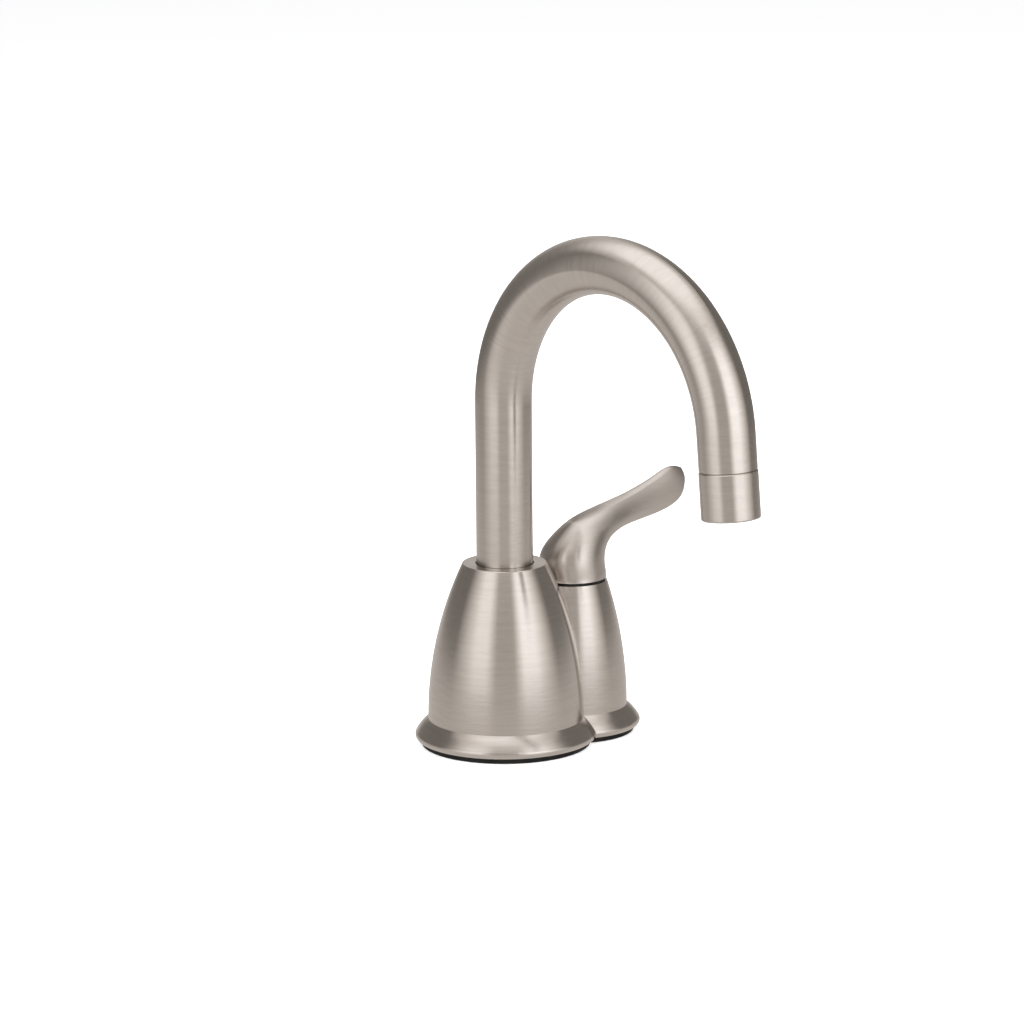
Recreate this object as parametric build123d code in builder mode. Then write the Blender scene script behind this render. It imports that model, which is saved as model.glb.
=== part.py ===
"""Instant hot water faucet: two joined bells on one flanged foot, a swivelling
gooseneck spout on the large bell and a self-closing lever valve on the small one.

Millimetres, +Z up. The origin is where the spout's axis meets the counter, the plane
that the gasket rests on. +X points from the spout's axis to the valve's axis, and the
spout reaches out towards -Y.
"""
from build123d import *
import math
import os

# Counter seal and the plate that closes the underside
gasket_thickness = 2.0
gasket_inset = 2.6
gasket_width = 4.6
plate_thickness = 4.0
plate_recess = 0.4
plate_gap = 0.2

# Casting: large bell under the spout, small bell under the lever
valve_offset = 33.4
spout_foot_radius = 30.6
spout_rim_radius = 16.6
spout_rim_height = 72.5
valve_foot_radius = 21.5
valve_rim_radius = 13.8
valve_rim_height = 60.8
bell_foot_height = 10.4
flange_reach = 5.15
flange_edge_radius = 1.9
flange_slope = 31.0
bell_wall = 2.8
bell_roof = 4.0
rim_break = 0.5
spout_boss_radius = 15.0
spout_boss_height = 14.0
valve_boss_radius = 12.3
valve_boss_height = 34.0
rim_lip = 2.5

# Gooseneck
tube_radius = 11.1
tube_wall = 1.1
tube_foot_height = 46.0
arc_start_height = 136.7
arc_radius = 60.6
arc_angle = 175.0
outlet_run = 14.1
spout_heading = -84.3
swivel_gap = 0.06
rim_gap = 0.4

# Spout foot, its seals and its bearings
socket_radius = 12.4
ferrule_insert = 14.0
ferrule_flange = 2.0
spigot_radius = 9.0
spigot_length = 20.0
waterway_radius = 5.5
seal_gap = 0.1
ring_radius = 0.72
ring_spacing = 6.0
ring_count = 2
thrust_washer_thickness = 1.8
bushing_length = 8.0
clip_thickness = 1.2
clip_groove = 0.5
clip_gap = 0.25
fit_gap = 0.05
housing_flange_radius = 14.0
housing_flange = 4.0
tail_radius = 8.0
port_radius = 4.5
port_depth = 12.0
passage_radius = 4.0

# Outlet
aerator_radius = 11.25
aerator_length = 18.2
aerator_bore = 8.8
aerator_lip = 1.2
aerator_break = 0.7
seam_break = 0.4
thread_length = 6.0
screen_thickness = 1.0
screen_hole = 0.55
core_length = 7.0
core_vanes = 6
vane_thickness = 0.9
washer_thickness = 1.5

# Valve
valve_bore_radius = 9.5
valve_body_radius = 9.4
valve_flange_radius = 11.6
valve_flange = 4.0
valve_tail_radius = 6.5
valve_top_height = 52.0
chamber_radius = 7.0
seat_height = 24.0
seat_radius = 3.0
plunger_gap = 0.07
plunger_height = 8.0
plunger_lift = 2.5
seat_washer_thickness = 1.6
seat_washer_radius = 5.2
post_radius = 2.4
post_height = 9.5
stem_radius = 5.0
stem_neck_radius = 4.0
stem_foot_height = 38.0
stem_grip = 11.0
stem_flat = 1.0
stem_collar_radius = 5.45
stem_collar_height = 1.2
bonnet_height = 6.0
bonnet_head_radius = 8.8
bonnet_head_height = 2.4
bonnet_gap = 0.06
spring_radius = 6.0
spring_wire = 0.45
spring_turns = 7
spring_clearance = 0.2
glide_ring_thickness = 0.9
glide_ring_inset = 0.7
glide_ring_width = 3.4
glide_gap = 0.2
relief_gap = 0.45

# Water lines under the casting
feed_reach = 12.6
feed_height = 27.0
feed_radius = 2.5
feed_wall = 0.6
feed_bend = 3.1
fitting_radius = 5.0
fitting_height = 9.0
fitting_port_radius = 3.5
fitting_port_depth = 6.0
fitting_socket_depth = 2.0

# Plate screws and mounting sockets
screw_radius = 1.75
screw_head_radius = 3.4
screw_drive_radius = 1.3
screw_drive_depth = 1.3
screw_length = 12.0
screw_hole_gap = 0.2
screw_boss_radius = 4.6
screw_boss_top = 22.0
screw_wall_margin = 4.1
stud_socket_radius = 3.4
stud_socket_depth = 8.0
stud_boss_radius = 6.0
stud_boss_top = 9.5
stud_x = 12.0
stud_spacing = 31.0

# Lever: its foot and the sections that its round foot passes through on the way to the
# thin blade. Each has its place out from the valve's axis and up from the lever's foot,
# the tilt of the section, half its depth and half its thickness.
lever_foot_radius = 13.5
lever_skirt_wall = 3.0
lever_skirt_depth = 6.0
lever_sections = [
    (0.0, 4.6, 1.0, 13.1, 13.1),
    (0.5, 8.9, 6.9, 12.7, 12.5),
    (3.6, 13.7, 14.0, 11.1, 11.0),
    (8.8, 17.9, 23.0, 9.6, 9.0),
    (15.5, 20.6, 31.0, 8.3, 7.5),
    (23.5, 22.5, 43.0, 7.3, 5.8),
    (30.5, 23.9, 53.0, 7.0, 4.7),
    (37.8, 25.6, 60.0, 7.3, 3.9),
    (44.2, 27.5, 62.5, 7.7, 3.4),
    (49.7, 29.8, 65.4, 7.7, 3.0),
    (53.1, 31.5, 66.4, 6.6, 2.6),
    (55.0, 32.8, 67.6, 4.7, 2.1),
    (56.1, 34.2, 68.7, 2.4, 1.3),
]
lever_shoulder = 58.0
lever_crease = 0.28
lever_tip_radius = 0.9
set_screw_radius = 2.0
set_screw_length = 5.0
set_screw_height = 8.8

os.makedirs("parts", exist_ok=True)

valve_axis = Axis((valve_offset, 0, 0), (0, 0, 1))
lip_height = spout_rim_height - rim_lip
bushing_foot = lip_height - bushing_length
ferrule_top = tube_foot_height + ferrule_insert
ferrule_foot = tube_foot_height - ferrule_flange
spigot_foot = ferrule_foot - spigot_length
housing_top = ferrule_foot - thrust_washer_thickness
housing_bore = spigot_radius + seal_gap
lever_foot_height = valve_rim_height + glide_ring_thickness + glide_gap
lever_bore_top = lever_foot_height + stem_grip
plate_foot = plate_recess
plate_top = plate_foot + plate_thickness


def save(part, name):
    """Label a finished piece and write it under its own name."""
    part.label = name
    export_step(part, f"parts/{name}.step")


def upright(x_offset):
    """Plane of a turned profile: its X is the radius and its Y is the height."""
    return Plane(origin=(x_offset, 0, 0), x_dir=(1, 0, 0), z_dir=(0, -1, 0))


def bell_sagitta_radius(foot_radius, rim_radius, rise):
    """Radius of the bell's flank, an arc that stands upright at the foot."""
    drop = foot_radius - rim_radius
    return (rise**2 + drop**2) / (2 * drop)


def bell_radius(foot_radius, rim_radius, rim_height, height):
    """The flank's radius from the bell's axis at a height above the counter."""
    flank = bell_sagitta_radius(foot_radius, rim_radius, rim_height - bell_foot_height)
    return foot_radius - flank + math.sqrt(flank**2 - (height - bell_foot_height)**2)


def bell_profile(foot_radius, rim_radius, rim_height):
    """Outline of one bell with its flared flange, from its axis outwards."""
    edge = foot_radius + flange_reach
    middle = bell_foot_height + (rim_height - bell_foot_height) / 2
    flank = bell_radius(foot_radius, rim_radius, rim_height, middle)
    slope = math.radians(flange_slope)
    edge_height = gasket_thickness + flange_edge_radius
    slope_foot = (edge - flange_edge_radius * (1 - math.cos(slope)),
                  edge_height + flange_edge_radius * math.sin(slope))
    with BuildLine() as outline:
        Line((0, rim_height), (0, gasket_thickness))
        Line((0, gasket_thickness), (edge - flange_edge_radius, gasket_thickness))
        ThreePointArc((edge - flange_edge_radius, gasket_thickness), (edge, edge_height), slope_foot)
        TangentArc(slope_foot, (foot_radius, bell_foot_height), tangent=(-math.sin(slope), math.cos(slope)))
        ThreePointArc((foot_radius, bell_foot_height), (flank, middle), (rim_radius, rim_height))
        Line((rim_radius, rim_height), (0, rim_height))
    return outline


def hollow_profile(foot_radius, rim_radius, rim_height):
    """Outline of the hollow inside one bell, a wall's thickness in from the flank."""
    roof = rim_height - bell_roof
    middle = bell_foot_height + (roof - bell_foot_height) / 2
    flank = bell_radius(foot_radius, rim_radius, rim_height, middle) - bell_wall
    top = bell_radius(foot_radius, rim_radius, rim_height, roof) - bell_wall
    foot = foot_radius - bell_wall
    with BuildLine() as outline:
        Line((0, roof), (0, 0))
        Line((0, 0), (foot, 0))
        Line((foot, 0), (foot, bell_foot_height))
        ThreePointArc((foot, bell_foot_height), (flank, middle), (top, roof))
        Line((top, roof), (0, roof))
    return outline


bells = [
    (0, spout_foot_radius, spout_rim_radius, spout_rim_height),
    (valve_offset, valve_foot_radius, valve_rim_radius, valve_rim_height),
]
screw_ring = spout_foot_radius - bell_wall - screw_wall_margin
screw_places = [
    (screw_ring * math.cos(math.radians(120)), screw_ring * math.sin(math.radians(120))),
    (screw_ring * math.cos(math.radians(240)), screw_ring * math.sin(math.radians(240))),
    (valve_offset + valve_foot_radius - bell_wall - screw_wall_margin, 0),
]

# The casting: both bells and their flanges in one piece, hollow, with a boss for the
# spout, a boss for the valve and three short ones for the plate's screws.
with BuildPart() as body_casting:
    for x, foot, rim, height in bells:
        with BuildSketch(upright(x)):
            with BuildLine():
                add(bell_profile(foot, rim, height).line)
            make_face()
        revolve(axis=Axis((x, 0, 0), (0, 0, 1)))
    rims = body_casting.edges().filter_by(GeomType.CIRCLE).group_by(Axis.Z)[-1]
    fillet(rims, rim_break)
    for x, foot, rim, height in bells:
        with BuildSketch(upright(x)):
            with BuildLine():
                add(hollow_profile(foot, rim, height).line)
            make_face()
        revolve(axis=Axis((x, 0, 0), (0, 0, 1)), mode=Mode.SUBTRACT)
    with BuildSketch(Plane.XY.offset(spout_boss_height)):
        Circle(spout_boss_radius)
    extrude(amount=spout_rim_height - bell_roof / 2 - spout_boss_height)
    with BuildSketch(Plane.XY.offset(valve_boss_height)):
        with Locations((valve_offset, 0)):
            Circle(valve_boss_radius)
    extrude(amount=valve_rim_height - bell_roof / 2 - valve_boss_height)
    with BuildSketch(Plane.XY.offset(plate_top)):
        with Locations(*screw_places):
            Circle(screw_boss_radius)
    extrude(amount=screw_boss_top - plate_top)
    with BuildSketch(Plane.XY.offset(spout_boss_height)):
        Circle(socket_radius)
    extrude(amount=lip_height - spout_boss_height, mode=Mode.SUBTRACT)
    with BuildSketch(Plane.XY.offset(lip_height)):
        Circle(tube_radius + rim_gap)
    extrude(amount=rim_lip, mode=Mode.SUBTRACT)
    with BuildSketch(Plane.XY.offset(valve_boss_height)):
        with Locations((valve_offset, 0)):
            Circle(valve_bore_radius)
    extrude(amount=valve_rim_height - valve_boss_height, mode=Mode.SUBTRACT)
    with BuildSketch(Plane.XY.offset(valve_rim_height)):
        with Locations((valve_offset, 0)):
            Circle(lever_foot_radius + relief_gap)
    extrude(amount=spout_rim_height - valve_rim_height, mode=Mode.SUBTRACT)
    with BuildSketch(Plane.XY.offset(plate_top)):
        with Locations(*screw_places):
            Circle(screw_radius)
    extrude(amount=screw_length, mode=Mode.SUBTRACT)
save(body_casting.part, "body_casting")


def figure_eight(large_radius, small_radius):
    """Two overlapping circles, one on each axis of the casting."""
    Circle(large_radius)
    with Locations((valve_offset, 0)):
        Circle(small_radius)


gasket_large = spout_foot_radius + flange_reach - gasket_inset
gasket_small = valve_foot_radius + flange_reach - gasket_inset
with BuildPart() as base_gasket:
    with BuildSketch():
        figure_eight(gasket_large, gasket_small)
    extrude(amount=gasket_thickness)
    with BuildSketch():
        figure_eight(gasket_large - gasket_width, gasket_small - gasket_width)
    extrude(amount=gasket_thickness, mode=Mode.SUBTRACT)
save(base_gasket.part, "base_gasket")

# Plate in the casting's foot, with two threaded sockets that take the mounting studs
stud_places = [(stud_x, stud_spacing / 2), (stud_x, -stud_spacing / 2)]
with BuildPart() as base_plate:
    with BuildSketch(Plane.XY.offset(plate_foot)):
        figure_eight(spout_foot_radius - bell_wall - plate_gap, valve_foot_radius - bell_wall - plate_gap)
    extrude(amount=plate_thickness)
    with BuildSketch(Plane.XY.offset(plate_top)):
        with Locations(*stud_places):
            Circle(stud_boss_radius)
    extrude(amount=stud_boss_top - plate_top)
    with BuildSketch(Plane.XY.offset(plate_foot)):
        with Locations(*stud_places):
            Circle(stud_socket_radius)
    extrude(amount=stud_socket_depth, mode=Mode.SUBTRACT)
    with BuildSketch(Plane.XY.offset(plate_foot)):
        Circle(tail_radius + plate_gap)
        with Locations((valve_offset, 0)):
            Circle(valve_tail_radius + plate_gap)
        with Locations((valve_offset, feed_reach)):
            Circle(fitting_radius + plate_gap / 2)
    extrude(amount=plate_thickness, mode=Mode.SUBTRACT)
    with BuildSketch(Plane.XY.offset(plate_foot)):
        with Locations(*screw_places):
            Circle(screw_radius + screw_hole_gap)
    extrude(amount=plate_thickness, mode=Mode.SUBTRACT)
    for x, y in screw_places:
        with BuildSketch(Plane(origin=(x, y, 0), x_dir=(1, 0, 0), z_dir=(0, -1, 0))):
            with BuildLine():
                Polyline((0, plate_foot), (screw_head_radius + screw_hole_gap, plate_foot),
                         (0, plate_foot + screw_head_radius + screw_hole_gap), (0, plate_foot))
            make_face()
        revolve(axis=Axis((x, y, 0), (0, 0, 1)), mode=Mode.SUBTRACT)
save(base_plate.part, "base_plate")

# Countersunk screws that hold the plate up against the casting's bosses
with BuildPart() as plate_screws:
    for x, y in screw_places:
        with BuildSketch(Plane(origin=(x, y, 0), x_dir=(1, 0, 0), z_dir=(0, -1, 0))):
            with BuildLine():
                Polyline((0, plate_foot), (screw_head_radius, plate_foot),
                         (screw_radius - fit_gap, plate_foot + screw_head_radius - screw_radius),
                         (screw_radius - fit_gap, plate_foot + screw_length),
                         (0, plate_foot + screw_length), (0, plate_foot))
            make_face()
        revolve(axis=Axis((x, y, 0), (0, 0, 1)))
    with BuildSketch(Plane.XY.offset(plate_foot)):
        with Locations(*screw_places):
            RegularPolygon(screw_drive_radius, 6)
    extrude(amount=screw_drive_depth, mode=Mode.SUBTRACT)
save(plate_screws.part, "plate_screws")

# Gooseneck: straight up out of the bell, then over and down to the outlet
reach = Vector(math.cos(math.radians(spout_heading)), math.sin(math.radians(spout_heading)), 0)
across = Vector(-reach.Y, reach.X, 0)
spout_plane = Plane(origin=(0, 0, 0), x_dir=reach, z_dir=-across)
end_angle = math.radians(180 - arc_angle)
arc_end = (arc_radius + arc_radius * math.cos(end_angle), arc_start_height + arc_radius * math.sin(end_angle))
outlet_slope = (math.sin(end_angle), -math.cos(end_angle))


def on_spout(distance):
    """Plane square to the spout's end, a distance past the end of its arc."""
    place = (arc_end[0] + outlet_slope[0] * distance, arc_end[1] + outlet_slope[1] * distance)
    facing = reach * outlet_slope[0] + Vector(0, 0, outlet_slope[1])
    return Plane(origin=reach * place[0] + Vector(0, 0, place[1]), x_dir=across, z_dir=facing)


neck_end = (arc_end[0] + outlet_slope[0] * outlet_run, arc_end[1] + outlet_slope[1] * outlet_run)
with BuildPart() as spout_tube:
    with BuildLine(spout_plane) as neck:
        Line((0, tube_foot_height), (0, arc_start_height))
        CenterArc((arc_radius, arc_start_height), arc_radius, 180, -arc_angle)
        Line(arc_end, neck_end)
    with BuildSketch(Plane.XY.offset(tube_foot_height)):
        Circle(tube_radius)
        Circle(tube_radius - tube_wall, mode=Mode.SUBTRACT)
    sweep(path=neck.wire())
    with BuildSketch(Plane.XY.offset(bushing_foot - clip_gap - clip_thickness)):
        Circle(tube_radius)
        Circle(tube_radius - clip_groove, mode=Mode.SUBTRACT)
    extrude(amount=clip_thickness, mode=Mode.SUBTRACT)
    chamfer(spout_tube.edges().filter_by(GeomType.CIRCLE).group_by(Axis.Y)[0].sort_by(Edge.radius)[-1],
            seam_break)
save(spout_tube.part, "spout_tube")

# Brass foot of the spout: it plugs the tube and carries two seals in its spigot
ring_heights = [spigot_foot + ring_spacing * (turn + 1) for turn in range(ring_count)]
groove_radius = housing_bore - fit_gap - 2 * ring_radius
with BuildPart() as spout_ferrule:
    with BuildSketch(Plane.XY.offset(tube_foot_height)):
        Circle(tube_radius - tube_wall - fit_gap)
    extrude(amount=ferrule_insert)
    with BuildSketch(Plane.XY.offset(ferrule_foot)):
        Circle(tube_radius)
    extrude(amount=ferrule_flange)
    with BuildSketch(Plane.XY.offset(spigot_foot)):
        Circle(spigot_radius)
    extrude(amount=spigot_length)
    for height in ring_heights:
        with BuildSketch(Plane.XY.offset(height - ring_radius - fit_gap)):
            Circle(spigot_radius)
            Circle(groove_radius - fit_gap / 2, mode=Mode.SUBTRACT)
        extrude(amount=2 * (ring_radius + fit_gap), mode=Mode.SUBTRACT)
    with BuildSketch(Plane.XY.offset(spigot_foot)):
        Circle(waterway_radius)
    extrude(amount=ferrule_top - spigot_foot, mode=Mode.SUBTRACT)
save(spout_ferrule.part, "spout_ferrule")

with BuildPart() as spout_seals:
    for height in ring_heights:
        with BuildSketch(Plane.XZ):
            with Locations((groove_radius + ring_radius, height)):
                Circle(ring_radius)
        revolve(axis=Axis.Z)
save(spout_seals.part, "spout_seals")


def ring(outer, inner, foot, height, x_offset=0.0):
    """Flat ring or sleeve that stands at a height on one of the two axes."""
    with BuildPart() as piece:
        with BuildSketch(Plane.XY.offset(foot)):
            with Locations((x_offset, 0)):
                Circle(outer)
                Circle(inner, mode=Mode.SUBTRACT)
        extrude(amount=height)
    return piece.part


save(ring(socket_radius - fit_gap, spigot_radius + fit_gap, housing_top, thrust_washer_thickness - fit_gap),
     "thrust_washer")
save(ring(socket_radius - fit_gap, tube_radius + swivel_gap, bushing_foot, bushing_length), "swivel_bushing")

# Snap ring in the tube's groove, under the bushing, that keeps the spout from lifting out
with BuildPart() as retaining_clip:
    with BuildSketch(Plane.XY.offset(bushing_foot - clip_gap - clip_thickness)):
        Circle(socket_radius - seal_gap)
        Circle(tube_radius - clip_groove + fit_gap / 2, mode=Mode.SUBTRACT)
        with Locations((0, tube_radius)):
            Rectangle(tube_radius * 0.7, tube_radius, mode=Mode.SUBTRACT)
    extrude(amount=clip_thickness)
save(retaining_clip.part, "retaining_clip")

# Socket that the spout's spigot turns in, with the hot water port in its tail
with BuildPart() as seal_housing:
    with BuildSketch(Plane.XY.offset(spout_boss_height)):
        Circle(socket_radius - fit_gap)
    extrude(amount=housing_top - spout_boss_height)
    with BuildSketch(Plane.XY.offset(spout_boss_height - housing_flange)):
        Circle(housing_flange_radius)
    extrude(amount=housing_flange)
    with BuildSketch():
        Circle(tail_radius)
    extrude(amount=spout_boss_height - housing_flange)
    with BuildSketch(Plane.XY.offset(spigot_foot - spigot_foot * 0.06)):
        Circle(housing_bore)
    extrude(amount=housing_top - spigot_foot * 0.94, mode=Mode.SUBTRACT)
    with BuildSketch():
        Circle(port_radius)
    extrude(amount=port_depth, mode=Mode.SUBTRACT)
    with BuildSketch():
        Circle(passage_radius)
    extrude(amount=housing_top, mode=Mode.SUBTRACT)
save(seal_housing.part, "seal_housing")

# Outlet: a threaded sleeve that holds a core with vanes, a screen and a washer
lip_place = outlet_run + aerator_length - aerator_lip
with BuildPart() as aerator_sleeve:
    with BuildSketch(on_spout(outlet_run)):
        Circle(aerator_radius)
    extrude(amount=aerator_length)
    fillet(aerator_sleeve.faces().sort_by(Axis.Z)[0].edges(), aerator_break)
    chamfer(aerator_sleeve.faces().sort_by(Axis.Z)[-1].edges(), seam_break)
    with BuildSketch(on_spout(outlet_run - thread_length)):
        Circle(tube_radius - tube_wall - fit_gap)
    extrude(amount=thread_length)
    with BuildSketch(on_spout(outlet_run - thread_length)):
        Circle(aerator_bore)
    extrude(amount=thread_length + aerator_length - aerator_lip, mode=Mode.SUBTRACT)
    with BuildSketch(on_spout(outlet_run)):
        Circle(aerator_bore - aerator_lip)
    extrude(amount=aerator_length, mode=Mode.SUBTRACT)
save(aerator_sleeve.part, "aerator_sleeve")

core_radius = aerator_bore - fit_gap
with BuildPart() as aerator_core:
    with BuildSketch(on_spout(lip_place - core_length)):
        Circle(core_radius)
        Circle(core_radius - vane_thickness, mode=Mode.SUBTRACT)
        Circle(vane_thickness * 2)
        with PolarLocations(0, core_vanes, angular_range=180):
            Rectangle(2 * core_radius - vane_thickness, vane_thickness)
    extrude(amount=core_length)
save(aerator_core.part, "aerator_core")

screen_place = lip_place - core_length - screen_thickness
with BuildPart() as aerator_screen:
    with BuildSketch(on_spout(screen_place)):
        Circle(core_radius)
        Circle(screen_hole, mode=Mode.SUBTRACT)
        for row in range(1, int(core_radius / (4 * screen_hole))):
            with PolarLocations(4 * screen_hole * row, 6 * row):
                Circle(screen_hole, mode=Mode.SUBTRACT)
    extrude(amount=screen_thickness)
save(aerator_screen.part, "aerator_screen")

with BuildPart() as aerator_washer:
    with BuildSketch(on_spout(screen_place - washer_thickness)):
        Circle(core_radius)
        Circle(core_radius - 2 * washer_thickness, mode=Mode.SUBTRACT)
    extrude(amount=washer_thickness)
save(aerator_washer.part, "aerator_washer")

# Valve body: threaded up into the small bell's boss, with the cold inlet in its tail
with BuildPart() as valve_body:
    with BuildSketch(Plane.XY.offset(valve_boss_height)):
        with Locations((valve_offset, 0)):
            Circle(valve_body_radius)
    extrude(amount=valve_top_height - valve_boss_height)
    with BuildSketch(Plane.XY.offset(valve_boss_height - valve_flange)):
        with Locations((valve_offset, 0)):
            RegularPolygon(valve_flange_radius, 6)
    extrude(amount=valve_flange)
    with BuildSketch(Plane.XY.offset(seat_height - 2 * seat_radius)):
        with Locations((valve_offset, 0)):
            Circle(valve_body_radius)
    extrude(amount=valve_boss_height - valve_flange - seat_height + 2 * seat_radius)
    with BuildSketch():
        with Locations((valve_offset, 0)):
            Circle(valve_tail_radius)
    extrude(amount=seat_height - 2 * seat_radius)
    with BuildSketch(Plane.XY.offset(seat_height)):
        with Locations((valve_offset, 0)):
            Circle(chamber_radius)
    extrude(amount=valve_top_height - seat_height, mode=Mode.SUBTRACT)
    with BuildSketch():
        with Locations((valve_offset, 0)):
            Circle(port_radius)
    extrude(amount=port_depth, mode=Mode.SUBTRACT)
    with BuildSketch():
        with Locations((valve_offset, 0)):
            Circle(seat_radius)
    extrude(amount=seat_height, mode=Mode.SUBTRACT)
    with BuildSketch(Plane(origin=(valve_offset, 0, feed_height), x_dir=(1, 0, 0), z_dir=(0, 1, 0))):
        Circle(feed_radius)
    extrude(amount=valve_body_radius + feed_radius, mode=Mode.SUBTRACT)
save(valve_body.part, "valve_body")

# Tube that takes the cold water back down to the tank, and its threaded fitting
feed_start = chamber_radius + fit_gap
with BuildPart() as feed_tube:
    with BuildLine() as feed_path:
        FilletPolyline((valve_offset, feed_start, feed_height), (valve_offset, feed_reach, feed_height),
                       (valve_offset, feed_reach, fitting_height - fitting_socket_depth),
                       radius=feed_bend)
    with BuildSketch(Plane(origin=(valve_offset, feed_start, feed_height), x_dir=(1, 0, 0), z_dir=(0, 1, 0))):
        Circle(feed_radius - fit_gap)
        Circle(feed_radius - feed_wall, mode=Mode.SUBTRACT)
    sweep(path=feed_path.wire())
save(feed_tube.part, "feed_tube")

with BuildPart() as feed_fitting:
    with BuildSketch():
        with Locations((valve_offset, feed_reach)):
            Circle(fitting_radius)
    extrude(amount=fitting_height)
    with BuildSketch():
        with Locations((valve_offset, feed_reach)):
            Circle(fitting_port_radius)
    extrude(amount=fitting_port_depth, mode=Mode.SUBTRACT)
    with BuildSketch():
        with Locations((valve_offset, feed_reach)):
            Circle(feed_radius - feed_wall)
    extrude(amount=fitting_height, mode=Mode.SUBTRACT)
    with BuildSketch(Plane.XY.offset(fitting_height - fitting_socket_depth)):
        with Locations((valve_offset, feed_reach)):
            Circle(feed_radius)
    extrude(amount=fitting_socket_depth, mode=Mode.SUBTRACT)
save(feed_fitting.part, "feed_fitting")

# Plunger: it lifts off the seat as the lever turns, and a spring presses it back
washer_foot = seat_height + fit_gap
plunger_foot = washer_foot + seat_washer_thickness
plunger_top = plunger_foot + plunger_height
with BuildPart() as valve_plunger:
    with BuildSketch(Plane.XY.offset(plunger_foot)):
        with Locations((valve_offset, 0)):
            Circle(chamber_radius - plunger_gap)
    extrude(amount=plunger_height)
    with BuildSketch(Plane.XY.offset(plunger_top)):
        with Locations((valve_offset, 0)):
            Circle(post_radius)
    extrude(amount=post_height)
save(valve_plunger.part, "valve_plunger")
save(ring(seat_washer_radius, seat_radius / 2, washer_foot, seat_washer_thickness, valve_offset), "seat_washer")

# Stem: turned by the lever, with a quick thread inside its foot that lifts the plunger
stem_top = lever_bore_top - fit_gap
bonnet_foot = valve_top_height - bonnet_height / 2
with BuildPart() as valve_stem:
    with BuildSketch(Plane.XY.offset(stem_foot_height)):
        with Locations((valve_offset, 0)):
            Circle(stem_radius)
    extrude(amount=valve_rim_height - stem_foot_height)
    with BuildSketch(Plane.XY.offset(valve_rim_height)):
        with Locations((valve_offset, 0)):
            Circle(stem_neck_radius)
        with Locations((valve_offset, 2 * stem_neck_radius - stem_flat)):
            Rectangle(2 * stem_neck_radius, 2 * stem_neck_radius, mode=Mode.SUBTRACT)
    extrude(amount=stem_top - valve_rim_height)
    with BuildSketch(Plane.XY.offset(bonnet_foot - seal_gap - stem_collar_height)):
        with Locations((valve_offset, 0)):
            Circle(stem_collar_radius)
    extrude(amount=stem_collar_height)
    with BuildSketch(Plane.XY.offset(stem_foot_height)):
        with Locations((valve_offset, 0)):
            Circle(post_radius + plunger_gap)
    extrude(amount=plunger_top + post_height + 2 * plunger_lift - stem_foot_height, mode=Mode.SUBTRACT)
    stem_ring_height = valve_top_height + bonnet_height / 2
    stem_groove = stem_radius + bonnet_gap - fit_gap - 2 * ring_radius
    with BuildSketch(Plane.XY.offset(stem_ring_height - ring_radius - fit_gap)):
        with Locations((valve_offset, 0)):
            Circle(stem_radius)
            Circle(stem_groove - fit_gap / 2, mode=Mode.SUBTRACT)
    extrude(amount=2 * (ring_radius + fit_gap), mode=Mode.SUBTRACT)
save(valve_stem.part, "valve_stem")

with BuildPart() as stem_seal:
    with BuildSketch(Plane.XZ):
        with Locations((valve_offset + stem_groove + ring_radius, stem_ring_height)):
            Circle(ring_radius)
    revolve(axis=valve_axis)
save(stem_seal.part, "stem_seal")

# Bonnet nut: it closes the valve body round the stem and backs the spring
with BuildPart() as bonnet_nut:
    with BuildSketch(Plane.XY.offset(bonnet_foot)):
        with Locations((valve_offset, 0)):
            Circle(chamber_radius - fit_gap)
    extrude(amount=valve_top_height - bonnet_foot)
    with BuildSketch(Plane.XY.offset(valve_top_height)):
        with Locations((valve_offset, 0)):
            RegularPolygon(bonnet_head_radius, 6)
    extrude(amount=bonnet_height)
    with BuildSketch(Plane.XY.offset(bonnet_foot)):
        with Locations((valve_offset, 0)):
            Circle(stem_radius + bonnet_gap)
    extrude(amount=valve_top_height + bonnet_height - bonnet_foot, mode=Mode.SUBTRACT)
save(bonnet_nut.part, "bonnet_nut")

spring_foot = plunger_top + spring_wire + spring_clearance
spring_top = bonnet_foot - spring_wire - spring_clearance
spring_pitch = (spring_top - spring_foot) / spring_turns
with BuildPart() as return_spring:
    with BuildLine() as coil:
        Helix(spring_pitch, spring_top - spring_foot, spring_radius, center=(valve_offset, 0, spring_foot))
    with BuildSketch(Plane(origin=coil.line @ 0, z_dir=coil.line % 0)):
        Circle(spring_wire)
    sweep(path=coil.wire(), is_frenet=True)
save(return_spring.part, "return_spring")

ring_outer = valve_rim_radius - glide_ring_inset
save(ring(ring_outer, ring_outer - glide_ring_width, valve_rim_height, glide_ring_thickness, valve_offset),
     "glide_ring")


def lever_section(half_depth, half_thickness, crease):
    """Section of the lever: a low crown over a deeper hull, meeting at two shoulders."""
    angle = math.radians(lever_shoulder)
    shoulder = (half_depth * math.sin(angle), half_thickness * math.cos(angle) * (1 + crease))
    hull = []
    for step in range(9):
        turn = angle - step * (math.pi + 2 * angle) / 8
        hull.append((half_depth * math.sin(turn), half_thickness * math.cos(turn)))
    hull[0] = shoulder
    hull[-1] = (shoulder[0], -shoulder[1])
    with BuildLine() as outline:
        ThreePointArc((shoulder[0], -shoulder[1]), (half_depth, 0), shoulder)
        Spline(*hull)
    make_face(outline.edges())


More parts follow.
